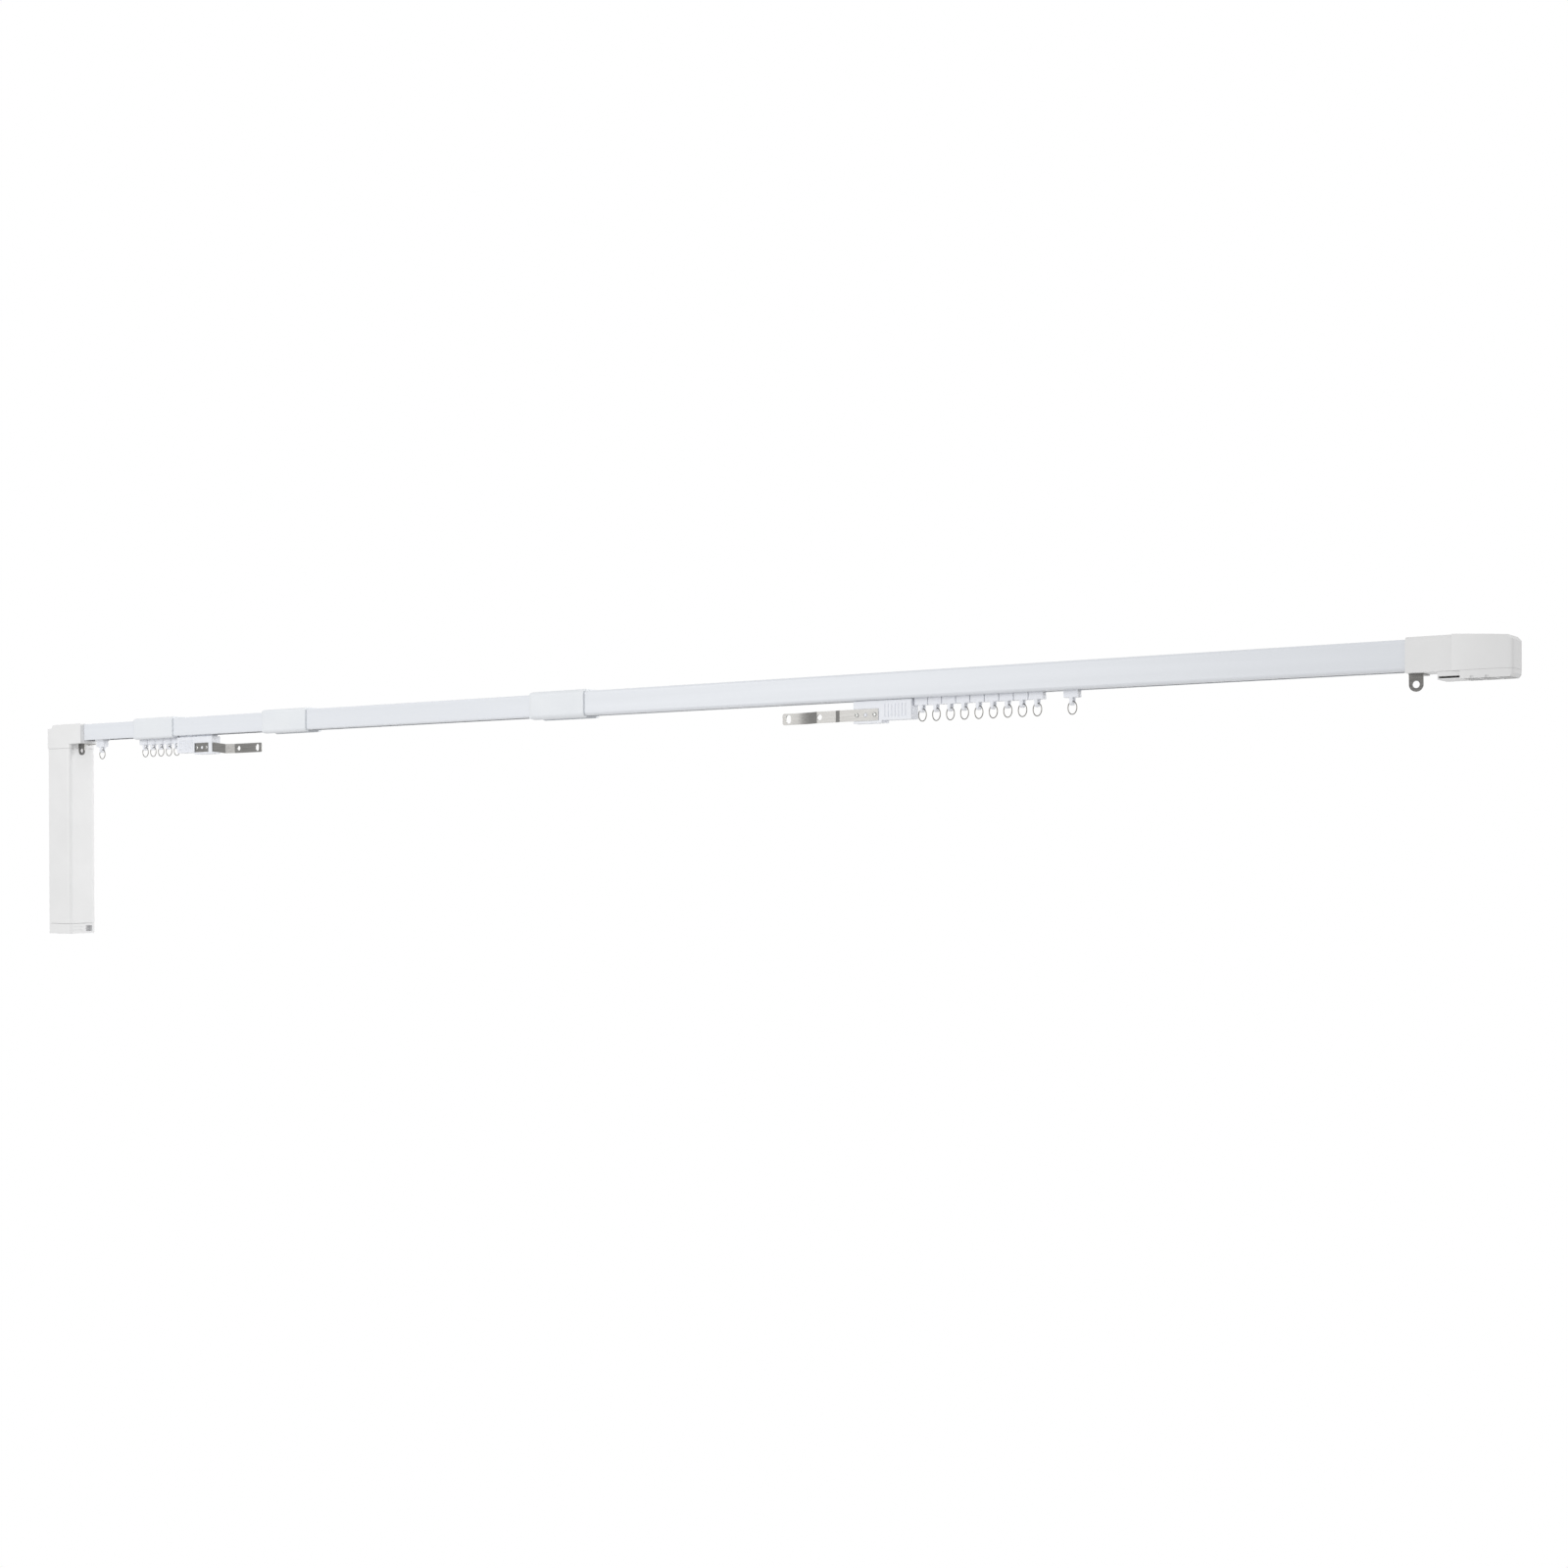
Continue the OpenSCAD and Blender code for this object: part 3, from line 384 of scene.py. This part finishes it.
def belt_piece(name, x_from, x_to, centre_x=None, turns_at=1):
    """A stretch of belt with square teeth on its inner face."""
    bm = bmesh.new()
    for path in belt_path(x_from, x_to, centre_x, turns_at):
        rows = []
        for k, ((x, y), (dx, dy)) in enumerate(path):
            inner = BELT_INNER if k % STEPS_PER_TOOTH < STEPS_PER_TOOTH / 2 else BELT_NOTCH
            section = ((inner, BELT_LOW), (BELT_OUTER, BELT_LOW), (BELT_OUTER, BELT_HIGH), (inner, BELT_HIGH))
            rows.append([bm.verts.new((x + dx * r, y + dy * r, z)) for r, z in section])
        closed_tube(bm, rows)
    return piece(name, bm, "belt_rubber", smooth=False)


def belt():
    """Three stretches of toothed belt in place of the plain loop: round the idler, in the middle, and round
    the drive pulley.
    """
    idler_x = (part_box("idler_pulley")[0].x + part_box("idler_pulley")[1].x) / 2
    motor_x = (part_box("drive_pulley")[0].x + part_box("drive_pulley")[1].x) / 2
    right = belt_piece("belt_right", BELT_WITH_SECOND, idler_x, idler_x, 1)
    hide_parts("drive_belt")
    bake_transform(right)
    middle = belt_piece("belt_middle", BELT_WITH_THIRD, BELT_WITH_SECOND)
    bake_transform(middle)
    left = belt_piece("belt_left", BELT_WITH_THIRD, motor_x, motor_x, -1)
    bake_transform(left)


# Screws and pegs

def cross_head(bm, centre, out, bar):
    """A domed pan head that stands out from centre along out, with one bar of its cross recess along bar."""
    out, side = Vector(out).normalized(), Vector(bar).normalized()
    up = out.cross(side)
    rows = []
    for j in range(1, SCREW_RINGS + 1):
        share = j / SCREW_RINGS
        row = []
        for across, along in CIRCLE:
            u, v = share * across, share * along
            near, far = sorted((abs(u), abs(v)))
            height = SCREW_DOME * math.sqrt(1 - SCREW_FALL * share ** 4)
            if near < CROSS_HALF_WIDTH and far < CROSS_REACH:
                height -= SCREW_DOME * CROSS_DEPTH
            row.append(bm.verts.new(centre + (side * u + up * v) * SCREW_R + out * height))
        rows.append(row)
    rows.append([bm.verts.new(centre + (side * across + up * along) * SCREW_R) for across, along in CIRCLE])
    closed_tube(bm, rows)


def screws(name, body, replaced, centres, out, bar):
    """Pan-head screws on one body; they stand in for a plain pair of solids where there is one."""
    bm = bmesh.new()
    for centre in centres:
        cross_head(bm, Vector(centre), out, bar)
    made = piece(name, bm, "plated_steel")
    made.data.materials[0] = SCREW_FINISH
    if replaced:
        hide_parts(replaced)
    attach(made, body)


def locating_peg(name, body, centre):
    """A moulded peg of the carrier that fills the middle hole of its arm's plate, with a low crown."""
    bm = bmesh.new()
    x, y, z = centre
    rows = []
    for radius, out in PEG_PROFILE:
        rows.append([bm.verts.new((x + radius * across, y - out, z + radius * along))
                     for across, along in CIRCLE])
    closed_tube(bm, rows)
    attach(piece(name, bm, "white_nylon"), body)


def screws_and_pegs():
    """Two screws and a peg hold each arm's plate, and two screws hold each end bracket."""
    for side in ("right", "left"):
        low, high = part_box(f"{side}_arm_screws")
        z = (low.z + high.z) / 2
        seat = low.y + SCREW_DOME
        pair = [(low.x + SCREW_R, seat, z), (high.x - SCREW_R, seat, z)]
        screws(f"{side}_arm_screw_heads", f"{side}_carrier", f"{side}_arm_screws", pair,
               out=(0, -1, 0), bar=ARM_CROSS_BAR)
        locating_peg(f"{side}_plate_peg", f"{side}_carrier", ((low.x + high.x) / 2, seat, z))
    for side, body in (("right", "outer_rail"), ("left", "inner_rail")):
        low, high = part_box(f"{side}_end_bracket")
        x, z = (low.x + high.x) / 2, high.z - BRACKET_SHEET
        pair = [(x, low.y + back, z) for back in BRACKET_SCREWS_AT]
        screws(f"{side}_bracket_screw_heads", body, None, pair, out=(0, 0, -1), bar=BRACKET_CROSS_BAR)


# Stage, light and camera

def seen_as_background(tree):
    """A socket that is 1 where a ray comes from the camera, a reflection or a clear piece, and else 0."""
    path = add(tree, "ShaderNodeLightPath")
    indirect = add(tree, "ShaderNodeMath", {"operation": "MAXIMUM"}, {
        0: path.outputs["Is Glossy Ray"], 1: path.outputs["Is Transmission Ray"]})
    seen = add(tree, "ShaderNodeMath", {"operation": "MAXIMUM"}, {
        0: path.outputs["Is Camera Ray"], 1: indirect.outputs[0]})
    return seen.outputs[0]


def pale_floor():
    """A matt floor well below the track that looks plain white to the camera and in reflections."""
    material, tree = new_material("pale_floor")
    matt = add(tree, "ShaderNodeBsdfDiffuse", inputs={"Color": linear("#d6d6d6")})
    white = add(tree, "ShaderNodeEmission", inputs={"Color": WHITE, "Strength": PLAIN_WHITE})
    pale = add(tree, "ShaderNodeMixShader", inputs={
        0: seen_as_background(tree), 1: matt.outputs[0], 2: white.outputs[0]})
    add(tree, "ShaderNodeOutputMaterial", inputs={"Surface": pale.outputs[0]})
    bpy.ops.mesh.primitive_plane_add(size=FLOOR_SIZE, location=(0, 0, FLOOR_Z))
    floor = bpy.context.object
    floor.name = "floor"
    floor.data.materials.append(material)


def white_surround():
    """Even light from all round, which is plain white to the camera and in reflections."""
    world = bpy.data.worlds.new("studio")
    bpy.context.scene.world = world
    world.use_nodes = True
    tree = world.node_tree
    tree.nodes.clear()
    level = add(tree, "ShaderNodeMapRange", inputs={
        "Value": seen_as_background(tree), "To Min": SURROUND_LIGHT, "To Max": PLAIN_WHITE})
    shade = add(tree, "ShaderNodeBackground", inputs={"Color": WHITE, "Strength": level.outputs[0]})
    add(tree, "ShaderNodeOutputWorld", inputs={"Surface": shade.outputs[0]})


def soft_lamp(name, place, target, size, watts, spread=math.pi):
    """A square softbox at place that faces target; a small spread keeps its light to the target."""
    data = bpy.data.lights.new(name, "AREA")
    data.size, data.energy, data.spread = size, watts, spread
    lamp = bpy.data.objects.new(name, data)
    bpy.context.collection.objects.link(lamp)
    lamp.location = place
    lamp.rotation_euler = (Vector(target) - Vector(place)).to_track_quat("-Z", "Y").to_euler()


def soft_lamps():
    """The strongest lamp is at the left, so that the right end falls off. The rear one lights the motor."""
    soft_lamp("left_softbox", place=(-1.3, -2.1, 0.5), target=(-0.45, 0, -0.05), size=1.4, watts=20)
    soft_lamp("rear_softbox", place=(0.4, 1.9, 0.5), target=(-1.36, 0, -0.15), size=1.4, watts=5.2,
              spread=math.radians(70))
    soft_lamp("right_softbox", place=(2.3, -1.4, 0.3), target=(-0.3, 0, -0.1), size=1.8, watts=7)
    soft_lamp("under_softbox", place=(-0.4, 0, -0.95), target=(-0.4, 0, 0), size=2.4, watts=4)


def camera():
    """The main view, shifted up a little and rolled by a fraction of a degree."""
    data = bpy.data.cameras.new("camera")
    data.sensor_width = CAMERA_SENSOR
    data.lens = CAMERA_LENS
    data.shift_y = CAMERA_SHIFT_UP
    data.clip_start, data.clip_end = CAMERA_NEAR, CAMERA_FAR
    made = bpy.data.objects.new("camera", data)
    bpy.context.collection.objects.link(made)
    made.location = CAMERA_PLACE
    roll = Quaternion((0, 0, 1), -CAMERA_ROLL)
    made.rotation_euler = (Vector(CAMERA_AIM).to_track_quat("-Z", "Y") @ roll).to_euler()
    bpy.context.scene.camera = made


bpy.context.scene.view_settings.view_transform = "Standard"
finish_nodes()
rolled_bend("right_arm")
belt()
screws_and_pegs()
pale_floor()
white_surround()
soft_lamps()
camera()
